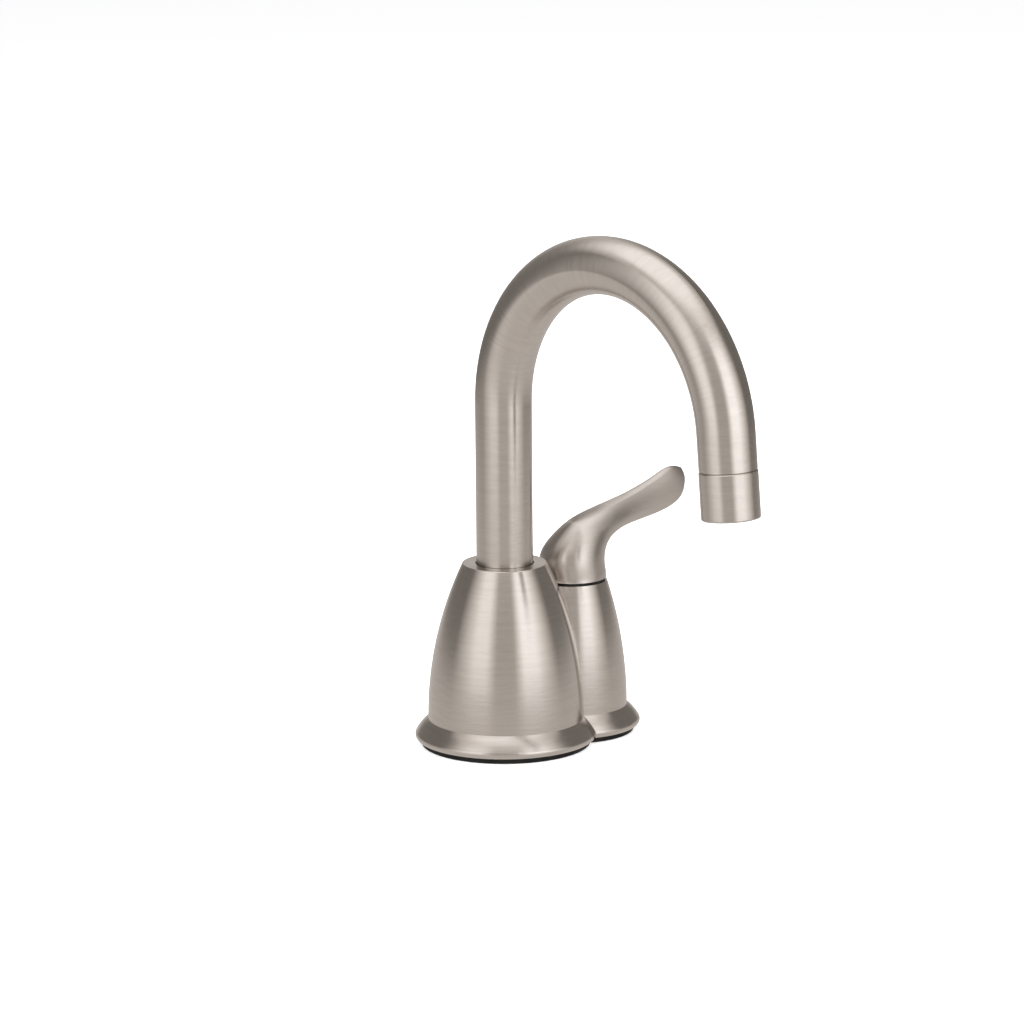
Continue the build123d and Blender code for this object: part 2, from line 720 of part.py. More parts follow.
# Lever: one lofted form from its round foot to the blade, bored for the stem
with BuildPart() as lever_handle:
    with BuildSketch(Plane(origin=(valve_offset, 0, lever_foot_height), x_dir=(-1, 0, 0), z_dir=(0, 0, 1))):
        lever_section(lever_foot_radius, lever_foot_radius, 0)
    last = len(lever_sections) - 1
    for count, (out, up, tilt, half_depth, half_thickness) in enumerate(lever_sections):
        lean = math.radians(tilt)
        place = Plane(origin=(valve_offset + out, 0, lever_foot_height + up),
                      x_dir=(-math.cos(lean), 0, math.sin(lean)),
                      z_dir=(math.sin(lean), 0, math.cos(lean)))
        with BuildSketch(place):
            lever_section(half_depth, half_thickness, lever_crease * count / last)
    loft()
    fillet(lever_handle.faces().sort_by(Axis.X)[-1].edges(), lever_tip_radius)
    with BuildSketch(Plane.XY.offset(lever_foot_height)):
        with Locations((valve_offset, 0)):
            Circle(lever_foot_radius - lever_skirt_wall)
    extrude(amount=lever_skirt_depth, mode=Mode.SUBTRACT)
    with BuildSketch(Plane.XY.offset(lever_foot_height)):
        with Locations((valve_offset, 0)):
            Circle(stem_neck_radius + fit_gap)
        with Locations((valve_offset, 2 * stem_neck_radius - stem_flat + fit_gap)):
            Rectangle(3 * stem_neck_radius, 2 * stem_neck_radius, mode=Mode.SUBTRACT)
    extrude(amount=stem_grip, mode=Mode.SUBTRACT)
    with BuildSketch(Plane(origin=(valve_offset, 0, lever_foot_height + set_screw_height),
                           x_dir=(1, 0, 0), z_dir=(0, 1, 0))):
        Circle(set_screw_radius)
    extrude(amount=2 * lever_foot_radius, mode=Mode.SUBTRACT)
save(lever_handle.part, "lever_handle")

# Set screw behind the lever that grips the stem's flat, under its small plug
screw_start = stem_neck_radius - stem_flat + fit_gap
with BuildPart() as lever_set_screw:
    with BuildSketch(Plane(origin=(valve_offset, screw_start, lever_foot_height + set_screw_height),
                           x_dir=(1, 0, 0), z_dir=(0, 1, 0))):
        Circle(set_screw_radius - fit_gap)
    extrude(amount=set_screw_length)
    with BuildSketch(Plane(origin=(valve_offset, screw_start + set_screw_length,
                                   lever_foot_height + set_screw_height),
                           x_dir=(1, 0, 0), z_dir=(0, 1, 0))):
        RegularPolygon(set_screw_radius * 0.6, 6)
    extrude(amount=-set_screw_length / 2, mode=Mode.SUBTRACT)
save(lever_set_screw.part, "lever_set_screw")
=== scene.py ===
"""Looks and stage for an instant hot water faucet in brushed nickel.

All sizes are in metres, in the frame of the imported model: the origin is where the
spout's axis meets the counter, +Z is up and +X points to the lever's axis.
"""
import math

import bpy
from bpy.props import FloatProperty, FloatVectorProperty, PointerProperty
from bpy.types import Operator, Panel, PropertyGroup
from mathutils import Matrix, Vector


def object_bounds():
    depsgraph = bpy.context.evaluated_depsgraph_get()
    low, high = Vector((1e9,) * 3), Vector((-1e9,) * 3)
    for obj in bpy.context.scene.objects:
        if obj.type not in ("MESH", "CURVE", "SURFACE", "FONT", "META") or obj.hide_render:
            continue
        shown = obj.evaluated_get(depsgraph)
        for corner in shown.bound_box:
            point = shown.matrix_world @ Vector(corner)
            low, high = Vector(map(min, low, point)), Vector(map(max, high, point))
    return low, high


bl_info = {
    "name": "Hot water faucet",
    "version": (1, 0, 0),
    "blender": (4, 5, 0),
    "location": "View3D > Sidebar > Faucet",
    "description": "Finishes and stage for a small gooseneck faucet",
    "category": "Object",
}

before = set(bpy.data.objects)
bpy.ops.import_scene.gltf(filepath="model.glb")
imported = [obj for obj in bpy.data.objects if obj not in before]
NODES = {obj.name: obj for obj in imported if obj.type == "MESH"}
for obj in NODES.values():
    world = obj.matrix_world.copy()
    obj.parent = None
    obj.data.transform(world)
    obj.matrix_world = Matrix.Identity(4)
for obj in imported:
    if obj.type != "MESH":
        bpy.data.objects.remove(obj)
CAD_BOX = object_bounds()

# Where the shapes run, for the finishes that follow them.
VALVE_X = 0.0334  # axis of the small bell and the lever
LARGE_FOOT = 0.0306  # radius of the large bell's foot
SMALL_FOOT = 0.0215  # radius of the small bell's foot
ARC_START = 0.1367  # height at which the gooseneck begins to bend
ARC_RADIUS = 0.0606  # of the gooseneck's centre line
SPOUT_HEADING = math.radians(-84.3)  # the way the gooseneck reaches out, from +X
BLADE_START = VALVE_X + 0.006  # where the lever's foot begins to turn into its blade
BLADE_BLEND = 0.012  # length over which it does
BLADE_RUN = (1.0, 0.0, 0.35)  # the way the scratches run along the blade
BLADE_GRAIN = 40.0  # radians of the scratches' pattern to a metre of blade
PATTERN_APART = 9.0  # radians that set the small bell's pattern off from the large one's

FINE_DETAIL, STAIN_DETAIL = 3.0, 4.0  # how many times a noise repeats itself more finely

# Brushed nickel: fine scratches, wider streaks among them and soft clouds.
SCRATCH_CRISPNESS = 0.65
STREAK_ACROSS, STREAK_ALONG = 0.22, 0.3  # how many streaks there are to each scratch
STREAK_LAYER = 4.0  # sets the streaks' pattern off from the scratches'
CLOUDS = 28.0  # how many there are to the metre
SCRATCH_SHARE = 0.6  # of the tone, the rest is the streaks'
TONE_STEP = (0.3, 0.7)  # tones between which the colour goes from deep to pale
PALE, DEEP = 1.045, 0.945  # shares of the nickel's colour
SCRATCH_ROUGHNESS, CLOUD_ROUGHNESS = 0.035, 0.012  # how far each moves the roughness

# Black pieces: material, span of its roughness, and nodes.
BLACK_PIECES = (
    ("rubber_seal", (0.52, 0.72),
     ("base_gasket", "spout_seals", "stem_seal", "seat_washer", "aerator_washer")),
    ("black_glide", (0.32, 0.52), ("glide_ring",)),
)
BLACK_GRAIN, BLACK_DUST = 2600.0, 190.0  # to the metre
BLACK_GRAIN_DEPTH, BLACK_GRAIN_STRENGTH = 0.00002, 0.6
BLACK_GLOSS = 0.16  # level of its shine
DUST_STEP = (0.35, 0.75)
DUST_GAIN, DUST_LIFT = 1.9, 0.002  # how much paler the dusty patches are

# Metals inside: material, name of its colour, span of its roughness, tool marks to the metre
# along x, y and z, and nodes.
INNER_METALS = (
    ("machined_brass", "brass", (0.22, 0.42), (80.0, 80.0, 5200.0),
     ("spout_ferrule", "seal_housing", "valve_body", "valve_plunger", "valve_stem",
      "bonnet_nut", "feed_fitting")),
    ("drawn_copper", "copper", (0.26, 0.46), (2600.0, 2600.0, 90.0), ("feed_tube",)),
    ("plain_steel", "steel", (0.24, 0.44), (3400.0, 120.0, 900.0),
     ("base_plate", "plate_screws", "retaining_clip", "return_spring", "aerator_screen",
      "lever_set_screw")),
)
STAINS = 75.0  # to the metre
STAIN_STEP = (0.42, 0.78)
STAIN_SHADE = 0.72

# Pale plastic.
PALE_PIECES = ("swivel_bushing", "thrust_washer", "aerator_core")
MOULD_GRAIN, MOULD_FLOW = 1500.0, 160.0  # to the metre
MOULD_ROUGHNESS = (0.36, 0.52)
MOULD_STRENGTH = 0.5
FLOW_SHADE = 0.9
ACETAL_IOR = 1.48
MARK_DEPTH = 0.000012  # of tool marks and of moulding grain

# Light tent: how bright its wall is by the turn from the camera's side. Each stop is a turn in
# degrees, positive to the camera's right, and a level. It is a plain set: a fill softbox on the
# left, a brighter key softbox on the right, dim flanks and a pale screen behind the object.
SOFTBOX_FILL, SOFTBOX_KEY = 1.3, 1.6
TENT_GAP, TENT_FLANK, TENT_SCREEN = 0.5, 0.2, 0.6
TENT_SIDE = [
    (-180, TENT_SCREEN), (-150, TENT_FLANK), (-90, TENT_FLANK), (-50, SOFTBOX_FILL),
    (-30, SOFTBOX_FILL), (-15, TENT_GAP), (15, TENT_GAP), (30, SOFTBOX_KEY),
    (50, SOFTBOX_KEY), (90, TENT_FLANK), (150, TENT_FLANK), (180, TENT_SCREEN)]
TENT_FLOOR = [(-180, 0.6), (180, 0.6)]
TENT_CEILING = [(-180, 0.7), (180, 0.7)]
TENT_WALL = ((TENT_SIDE, 0.0, 0.03),)  # its levels take over from the floor's up to this height
TENT_FOOT = 0.65  # the floor seen from above, which at a low angle has a sheen
TENT_SHEEN_IOR, TENT_SHEEN_GAIN = 1.5, 4.5  # how fast the sheen comes as the angle drops
TENT_CROWN = 1.4  # the middle of the ceiling
TENT_CROWN_EDGE = (0.25, 0.5)  # reach over which it gives way to the ceiling's edge
TENT_CORNER = 0.06  # height over which the wall turns into the ceiling
TENT_TOP = 3.0  # a ramp's colours stop at 1, so its levels are held as shares of this one
TENT_WARM = (1.086, 1.0, 0.916)  # colour of the dim cloth
TENT_COOL = (0.94, 1.0, 1.09)  # colour of the brightest cloth
TENT_SIDES = 128
TENT_HUB = 0.002  # radius left open round the tent's axis
TENT_DROP = 0.0001  # how far its foot lies below the gasket, just over the floor

FLOOR_HALF = 6.0  # half of its side
FLOOR_DROP = 0.0002  # how far it lies below the gasket
FLOOR_COLOUR = (0.86, 0.86, 0.86, 1.0)
WORLD_LIGHT = (0.55, 0.55, 0.56)  # on the object
WORLD_SEEN = (1.0, 1.0, 1.0)  # as background and in gloss

# Camera: how far it stands from the origin, how high, how far round and how it is turned there.
CAMERA_DISTANCE = 2.0394
CAMERA_RISE = math.radians(15.309)
CAMERA_ROUND = math.radians(-37.2756)
CAMERA_PAN = math.radians(0.093)
CAMERA_TILT = math.radians(12.777)
CAMERA_ROLL = math.radians(-0.447)
CAMERA_SHIFT = 0.5 / 1024  # half a pixel
CAMERA_SENSOR = 36.0
CAMERA_CLIP = (0.05, 50.0)
CAMERA_SIDE = math.radians(-127.28)  # the way to the camera, from +X

# Lamps: name, degrees round from the camera's side, degrees up, distance, size and power share.
LAMPS = (
    ("lamp_left", -42.0, 32.0, 1.1, 0.7, 1.0),
    ("lamp_right", 42.0, 32.0, 1.1, 0.7, 1.0),
    ("lamp_top", 0.0, 88.0, 1.1, 1.0, 1.3),
    ("lamp_back", 180.0, 50.0, 1.2, 0.9, 0.7),
)
LAMPS_AIM = (0.0, -0.05, 0.08)


class Graph:
    """Short hand for building the nodes of one material, or of the world."""

    def __init__(self, owner, output="ShaderNodeOutputMaterial"):
        owner.use_nodes = True
        self.owner = owner
        self.tree = owner.node_tree
        self.tree.nodes.clear()
        self.output = self.add(output)

    def add(self, kind, **values):
        node = self.tree.nodes.new(kind)
        for key, value in values.items():
            setattr(node, key, value)
        return node

    def link(self, source, target):
        self.tree.links.new(source, target)

    def put(self, socket, value):
        """Link a socket to another one, or set its value."""
        if isinstance(value, bpy.types.NodeSocket):
            self.link(value, socket)
        else:
            socket.default_value = value

    def math(self, operation, a, b=0.0, c=None, clamp=False):
        node = self.add("ShaderNodeMath", operation=operation, use_clamp=clamp)
        self.put(node.inputs[0], a)
        self.put(node.inputs[1], b)
        if c is not None:
            self.put(node.inputs[2], c)
        return node.outputs[0]

    def vector(self, operation, a, b=None):
        node = self.add("ShaderNodeVectorMath", operation=operation)
        self.put(node.inputs[0], a)
        if b is not None:
            self.put(node.inputs[1], b)
        if operation in {"DOT_PRODUCT", "LENGTH"}:
            return node.outputs["Value"]
        return node.outputs["Vector"]

    def combine(self, x, y, z):
        node = self.add("ShaderNodeCombineXYZ")
        for socket, value in zip(node.inputs, (x, y, z)):
            self.put(socket, value)
        return node.outputs[0]

    def separate(self, vector):
        node = self.add("ShaderNodeSeparateXYZ")
        self.link(vector, node.inputs[0])
        return node.outputs

    def noise(self, vector, scale, detail=2.0, roughness=0.5):
        node = self.add("ShaderNodeTexNoise")
        self.link(vector, node.inputs["Vector"])
        node.inputs["Scale"].default_value = scale
        node.inputs["Detail"].default_value = detail
        node.inputs["Roughness"].default_value = roughness
        return node.outputs["Fac"]

    def span(self, value, low, high):
        """Map a value that runs from 0 to 1 onto a span."""
        node = self.add("ShaderNodeMapRange")
        self.link(value, node.inputs["Value"])
        node.inputs["To Min"].default_value = low
        node.inputs["To Max"].default_value = high
        return node.outputs["Result"]

    def step(self, value, low, high):
        """Soft step from 0 to 1 as a value passes from low to high."""
        node = self.add("ShaderNodeMapRange", interpolation_type="SMOOTHSTEP")
        self.link(value, node.inputs["Value"])
        node.inputs["From Min"].default_value = low
        node.inputs["From Max"].default_value = high
        return node.outputs["Result"]

    def blend(self, share, a, b):
        """Number that is a where the share is 0, and b where it is 1."""
        rest = self.math("SUBTRACT", 1.0, share)
        return self.math("ADD", self.math("MULTIPLY", rest, a), self.math("MULTIPLY", share, b))

    def mix(self, factor, a, b):
        """Mix of two colours."""
        node = self.add("ShaderNodeMix", data_type="RGBA")
        self.link(factor, node.inputs["Factor"])
        for socket, value in ((node.inputs[6], a), (node.inputs[7], b)):
            if isinstance(value, bpy.types.NodeSocket):
                self.link(value, socket)
            else:
                socket.default_value = (*value, 1.0)
        return node.outputs[2]

    def position(self):
        """Place on the piece as it is at rest, so that the finish rides with it."""
        return self.add("ShaderNodeTexCoord").outputs["Object"]

    def normal(self):
        """Direction of the surface, turned back to the piece at rest."""
        return self.add("ShaderNodeTexCoord").outputs["Normal"]

    def as_posed(self, direction):
        """Turn a direction on the piece at rest to where the piece is now."""
        node = self.add("ShaderNodeVectorTransform", vector_type="VECTOR",
                        convert_from="OBJECT", convert_to="WORLD")
        self.link(direction, node.inputs[0])
        return node.outputs[0]

    def bump(self, height, distance, strength=1.0):
        node = self.add("ShaderNodeBump")
        node.inputs["Strength"].default_value = strength
        node.inputs["Distance"].default_value = distance
        self.link(height, node.inputs["Height"])
        return node.outputs["Normal"]

    def seen(self):
        """1 where the camera looks at the surface, straight or by gloss or through glass."""
        ray = self.add("ShaderNodeLightPath").outputs
        return self.math("MAXIMUM", ray["Is Camera Ray"],
                         self.math("MAXIMUM", ray["Is Glossy Ray"], ray["Is Transmission Ray"]))

    def shade(self, shader):
        self.link(shader.outputs[0], self.output.inputs["Surface"])

    def surface(self, **values):
        """Principled surface: sockets by name, with spaces as underscores."""
        shader = self.add("ShaderNodeBsdfPrincipled")
        for key, value in values.items():
            self.put(shader.inputs[key.replace("_", " ")], value)
        self.shade(shader)


def new_finish(name):
    """Graph of a new material."""
    return Graph(bpy.data.materials.new(name))


def dress(names, graph):
    """Give CAD nodes a material through their objects' own slots."""
    for name in names:
        for slot in NODES[name].material_slots:
            slot.link = "OBJECT"
            slot.material = graph.owner


def shaded(colour, share):
    """A colour made paler or deeper, no part of it past 1."""
    return tuple(min(1.0, part * share) for part in colour)


def way_round(graph, axis_x):
    """The way round an upright axis, as long as the reach from it."""
    x, y, _ = graph.separate(graph.position())
    return graph.combine(graph.math("MULTIPLY", y, -1.0), graph.math("SUBTRACT", x, axis_x), 0.0)


def turned_round(graph, axis_x):
    """Angle, reach and height about an upright axis."""
    x, y, z = graph.separate(graph.position())
    shifted = graph.math("SUBTRACT", x, axis_x)
    angle = graph.math("ARCTAN2", y, shifted)
    reach = graph.vector("LENGTH", graph.combine(shifted, y, 0.0))
    return angle, reach, z


def square_to(graph, scratches):
    """Direction in the surface, square to the scratches."""
    return graph.vector("NORMALIZE", graph.vector("CROSS_PRODUCT", scratches, graph.normal()))


def nearer_large(graph):
    """1 on the large bell and its flange, 0 on the small one's."""
    return graph.math(
        "LESS_THAN", graph.math("SUBTRACT", turned_round(graph, 0.0)[1], LARGE_FOOT),
        graph.math("SUBTRACT", turned_round(graph, VALVE_X)[1], SMALL_FOOT))


def brushed_nickel(name, settings, run, round_by, tangent, roughness):
    """Satin nickel with fine scratches.

    run is the distance across the scratches, round_by the way along them, tangent the
    direction in which the scratches spread the light, and roughness how far they do so.
    """
    graph = new_finish(name)
    across, along = run(graph), round_by(graph)

    def drawn_out(across_share, along_share, layer, *detail):
        return graph.noise(graph.combine(
            graph.math("MULTIPLY", across, across_share / settings.grain_pitch),
            graph.math("MULTIPLY", along, along_share / settings.grain_length), layer),
            1.0, *detail)

    scratch = drawn_out(1.0, 1.0, 0.0, FINE_DETAIL, SCRATCH_CRISPNESS)
    streak = drawn_out(STREAK_ACROSS, STREAK_ALONG, STREAK_LAYER)
    cloud = graph.noise(graph.position(), CLOUDS)
    tone = graph.math("ADD", graph.math("MULTIPLY", scratch, SCRATCH_SHARE),
                      graph.math("MULTIPLY", streak, 1.0 - SCRATCH_SHARE))
    uneven = graph.math("ADD", graph.span(scratch, -SCRATCH_ROUGHNESS, SCRATCH_ROUGHNESS),
                        graph.span(cloud, -CLOUD_ROUGHNESS, CLOUD_ROUGHNESS))
    graph.surface(
        Base_Color=graph.mix(graph.step(tone, *TONE_STEP), shaded(settings.nickel, DEEP),
                             shaded(settings.nickel, PALE)),
        Metallic=1.0, Roughness=graph.math("ADD", roughness(graph), uneven),
        Anisotropic=settings.anisotropy, Tangent=graph.as_posed(tangent(graph)),
        Normal=graph.bump(scratch, settings.grain_depth))
    return graph


class FinishSettings(PropertyGroup):
    """Colours and grain of the faucet's finishes."""

    nickel: FloatVectorProperty(
        name="Nickel", description="Colour of the brushed nickel", subtype="COLOR", size=3,
        min=0.0, max=1.0, default=(0.605, 0.565, 0.528))
    roughness: FloatProperty(
        name="Roughness", description="Roughness of the brushed nickel", subtype="FACTOR",
        min=0.0, max=1.0, default=0.24)
    lever_foot: FloatProperty(
        name="Lever foot", description="Roughness of the lever's foot", subtype="FACTOR",
        min=0.0, max=1.0, default=0.31)
    lever_blade: FloatProperty(
        name="Lever blade", description="Roughness of the lever's blade", subtype="FACTOR",
        min=0.0, max=1.0, default=0.38)
    anisotropy: FloatProperty(
        name="Anisotropy", description="How far the scratches spread the light",
        subtype="FACTOR", min=0.0, max=1.0, default=0.86)
    grain_pitch: FloatProperty(
        name="Grain pitch", description="Distance between scratches", subtype="DISTANCE",
        unit="LENGTH", default=0.00045)
    grain_length: FloatProperty(
        name="Grain length", description="Length of a scratch, as an angle round the piece",
        default=0.3)
    grain_depth: FloatProperty(
        name="Grain depth", description="Depth of the scratches", subtype="DISTANCE",
        unit="LENGTH", default=0.000004)
    rubber: FloatVectorProperty(
        name="Rubber", description="Colour of the seals", subtype="COLOR", size=3,
        min=0.0, max=1.0, default=(0.008, 0.0075, 0.007))
    brass: FloatVectorProperty(
        name="Brass", description="Colour of the machined brass", subtype="COLOR", size=3,
        min=0.0, max=1.0, default=(0.72, 0.53, 0.27))
    copper: FloatVectorProperty(
        name="Copper", description="Colour of the drawn copper tube", subtype="COLOR", size=3,
        min=0.0, max=1.0, default=(0.78, 0.42, 0.27))
    steel: FloatVectorProperty(
        name="Steel", description="Colour of the stainless steel", subtype="COLOR", size=3,
        min=0.0, max=1.0, default=(0.58, 0.57, 0.55))
    acetal: FloatVectorProperty(
        name="Acetal", description="Colour of the bearings and the outlet's core",
        subtype="COLOR", size=3, min=0.0, max=1.0, default=(0.78, 0.77, 0.73))


class StageSettings(PropertyGroup):
    """Camera, lamps, tent and floor."""

    lens: FloatProperty(
        name="Lens", description="Focal length of the camera", unit="CAMERA", default=181.93)
    tent_level: FloatProperty(
        name="Tent level", description="Brightness of the light tent's cloth", min=0.0,
        default=1.0)
    tent_radius: FloatProperty(
        name="Tent radius", description="Radius of the light tent", subtype="DISTANCE",
        unit="LENGTH", default=0.6)
    tent_height: FloatProperty(
        name="Tent height", description="Height of the light tent's ceiling",
        subtype="DISTANCE", unit="LENGTH", default=0.72)
    lamp_level: FloatProperty(
        name="Lamp level", description="Power of the soft lamps", unit="POWER", default=9.0)
    floor_level: FloatProperty(
        name="Floor level", description="How far the floor is lifted to white", min=0.0,
        default=0.45)


class FAUCET_OT_bells(Operator):
    """Brush the casting round its two upright axes."""

    bl_idname = "faucet.finish_bells"
    bl_label = "Finish bells"

    def execute(self, context):
        settings = context.scene.faucet_finish

        def run(graph):
            """Height less the reach from the nearer bell's own axis."""
            reach = graph.blend(nearer_large(graph), turned_round(graph, VALVE_X)[1],
                                turned_round(graph, 0.0)[1])
            return graph.math("SUBTRACT", turned_round(graph, 0.0)[2], reach)

        def round_by(graph):
            """The way round the nearer bell's own axis."""
            small = graph.math("ADD", turned_round(graph, VALVE_X)[0], PATTERN_APART)
            return graph.blend(nearer_large(graph), small, turned_round(graph, 0.0)[0])

        def tangent(graph):
            axis_x = graph.blend(nearer_large(graph), VALVE_X, 0.0)
            return square_to(graph, way_round(graph, axis_x))

        dress(["body_casting"], brushed_nickel(
            "nickel_bells", settings, run, round_by, tangent, lambda graph: settings.roughness))
        return {"FINISHED"}


def arc_frame(graph):
    """Distance along the gooseneck and the direction in which it runs there."""
    heading = (math.cos(SPOUT_HEADING), math.sin(SPOUT_HEADING), 0.0)
    position = graph.position()
    out = graph.math("SUBTRACT", graph.vector("DOT_PRODUCT", position, heading), ARC_RADIUS)
    rise = graph.math("SUBTRACT", graph.separate(position)[2], ARC_START)
    angle = graph.math("ARCTAN2", graph.math("MAXIMUM", rise, 0.0),
                       graph.math("MULTIPLY", out, -1.0))
    upward = graph.blend(graph.math("GREATER_THAN", out, 0.0), 1.0, -1.0)
    straight = graph.math("MULTIPLY", graph.math("MINIMUM", rise, 0.0), upward)
    length = graph.math("ADD", graph.math("MULTIPLY", angle, ARC_RADIUS), straight)
    bent = graph.math("GREATER_THAN", rise, 0.0)
    outward = graph.math("MULTIPLY", bent, rise)
    downward = graph.blend(bent, 1.0, out)
    direction = graph.combine(graph.math("MULTIPLY", outward, heading[0]),
                              graph.math("MULTIPLY", outward, heading[1]),
                              graph.math("MULTIPLY", downward, -1.0))
    return length, graph.vector("NORMALIZE", direction)


class FAUCET_OT_spout(Operator):
    """Brush the gooseneck and its outlet sleeve round their own centre line."""

    bl_idname = "faucet.finish_spout"
    bl_label = "Finish spout"

    def execute(self, context):
        settings = context.scene.faucet_finish

        def run(graph):
            return arc_frame(graph)[0]

        def round_by(graph):
            """The way round the tube, by how far the normal turns from the arch's plane."""
            square = (-math.sin(SPOUT_HEADING), math.cos(SPOUT_HEADING), 0.0)
            return graph.vector("DOT_PRODUCT", graph.normal(), square)

        def tangent(graph):
            return arc_frame(graph)[1]

        dress(["spout_tube", "aerator_sleeve"], brushed_nickel(
            "nickel_spout", settings, run, round_by, tangent, lambda graph: settings.roughness))
        return {"FINISHED"}


class FAUCET_OT_lever(Operator):
    """Brush the lever round its foot and along its blade."""

    bl_idname = "faucet.finish_lever"
    bl_label = "Finish lever"

    def execute(self, context):
        settings = context.scene.faucet_finish

        def on_blade(graph):
            """0 on the round foot, 1 out on the blade."""
            x = graph.separate(graph.position())[0]
            return graph.step(x, BLADE_START, BLADE_START + BLADE_BLEND)

        def run(graph):
            return turned_round(graph, VALVE_X)[2]

        def round_by(graph):
            angle, reach, _ = turned_round(graph, VALVE_X)
            return graph.blend(on_blade(graph), angle,
                               graph.math("MULTIPLY", reach, BLADE_GRAIN))

        def tangent(graph):
            foot = graph.vector("NORMALIZE", way_round(graph, VALVE_X))
            scratches = graph.mix(on_blade(graph), foot, BLADE_RUN)
            return square_to(graph, graph.vector("NORMALIZE", scratches))

        def roughness(graph):
            return graph.span(on_blade(graph), settings.lever_foot, settings.lever_blade)

        dress(["lever_handle"], brushed_nickel(
            "nickel_lever", settings, run, round_by, tangent, roughness))
        return {"FINISHED"}


class FAUCET_OT_seals(Operator):
    """Black rubber and plastic of the seals and the ring under the lever."""

    bl_idname = "faucet.finish_seals"
    bl_label = "Finish seals"

    def execute(self, context):
        rubber = context.scene.faucet_finish.rubber
        dusty = tuple(part * DUST_GAIN + DUST_LIFT for part in rubber)
        for name, rough, nodes in BLACK_PIECES:
            graph = new_finish(name)
            grain = graph.noise(graph.position(), BLACK_GRAIN, FINE_DETAIL)
            dust = graph.noise(graph.position(), BLACK_DUST, FINE_DETAIL)
            graph.surface(
                Base_Color=graph.mix(graph.step(dust, *DUST_STEP), rubber, dusty),
                Roughness=graph.span(grain, *rough), Specular_IOR_Level=BLACK_GLOSS,
                Normal=graph.bump(grain, BLACK_GRAIN_DEPTH, BLACK_GRAIN_STRENGTH))
            dress(nodes, graph)
        return {"FINISHED"}


class FAUCET_OT_metals(Operator):
    """Brass, copper and steel of the pieces inside."""

    bl_idname = "faucet.finish_metals"
    bl_label = "Finish inner metals"

    def execute(self, context):
        settings = context.scene.faucet_finish
        for name, metal, rough, marks, nodes in INNER_METALS:
            colour = getattr(settings, metal)
            graph = new_finish(name)
            lines = graph.noise(graph.vector("MULTIPLY", graph.position(), marks), 1.0,
                                FINE_DETAIL)
            stain = graph.noise(graph.position(), STAINS, STAIN_DETAIL)
            graph.surface(
                Base_Color=graph.mix(graph.step(stain, *STAIN_STEP), colour,
                                     shaded(colour, STAIN_SHADE)),
                Metallic=1.0, Roughness=graph.span(lines, *rough),
                Normal=graph.bump(lines, MARK_DEPTH))
            dress(nodes, graph)
        return {"FINISHED"}


class FAUCET_OT_bearings(Operator):
    """Pale plastic of the bearings and the outlet's core."""

    bl_idname = "faucet.finish_bearings"
    bl_label = "Finish bearings"

    def execute(self, context):
        acetal = context.scene.faucet_finish.acetal
        graph = new_finish("moulded_acetal")
        grain = graph.noise(graph.position(), MOULD_GRAIN, FINE_DETAIL)
        flow = graph.noise(graph.position(), MOULD_FLOW)
        graph.surface(
            Base_Color=graph.mix(flow, acetal, shaded(acetal, FLOW_SHADE)),
            Roughness=graph.span(grain, *MOULD_ROUGHNESS), IOR=ACETAL_IOR,
            Normal=graph.bump(grain, MARK_DEPTH, MOULD_STRENGTH))
        dress(PALE_PIECES, graph)
        return {"FINISHED"}


def tent_ramp(graph, turn, stops):
    """Colour ramp over a full turn."""
    ramp = graph.add("ShaderNodeValToRGB")
    elements = ramp.color_ramp.elements
    while len(elements) > 1:
        elements.remove(elements[-1])
    for count, (degrees, level) in enumerate(stops):
        place = (degrees + 180.0) / 360.0
        element = elements[0] if count == 0 else elements.new(place)
        element.position = place
        element.color = (*[level / TENT_TOP] * 3, 1.0)
    graph.link(turn, ramp.inputs[0])
    return ramp.outputs["Color"]


def tent_cloth(height):
    """Glow of the tent's cloth, by the turn from the camera's side and by height."""
    graph = new_finish("tent_cloth")
    angle, reach, z = turned_round(graph, 0.0)
    wrapped = graph.math("WRAP", graph.math("SUBTRACT", angle, CAMERA_SIDE), math.pi, -math.pi)
    turn = graph.math("ADD", graph.math("MULTIPLY", wrapped, 0.5 / math.pi), 0.5)
    fresnel = graph.add("ShaderNodeFresnel")
    fresnel.inputs["IOR"].default_value = TENT_SHEEN_IOR
    sheen = graph.math("MULTIPLY", fresnel.outputs[0], TENT_SHEEN_GAIN, clamp=True)
    level = graph.mix(sheen, [TENT_FOOT / TENT_TOP] * 3, tent_ramp(graph, turn, TENT_FLOOR))
    for stops, start, end in TENT_WALL:
        level = graph.mix(graph.step(z, start, end), level, tent_ramp(graph, turn, stops))
    ceiling = graph.mix(graph.step(reach, *TENT_CROWN_EDGE), [TENT_CROWN / TENT_TOP] * 3,
                        tent_ramp(graph, turn, TENT_CEILING))
    level = graph.mix(graph.step(z, height - TENT_CORNER, height), level, ceiling)
    return graph, graph.vector("MULTIPLY", level, graph.mix(level, TENT_WARM, TENT_COOL))


def stage_piece(name, points, faces, graph):
    """Make a piece of the stage from its points and faces."""
    mesh = bpy.data.meshes.new(name)
    mesh.from_pydata(points, [], faces)
    mesh.materials.append(graph.owner)
    piece = bpy.data.objects.new(name, mesh)
    bpy.context.collection.objects.link(piece)
    return piece


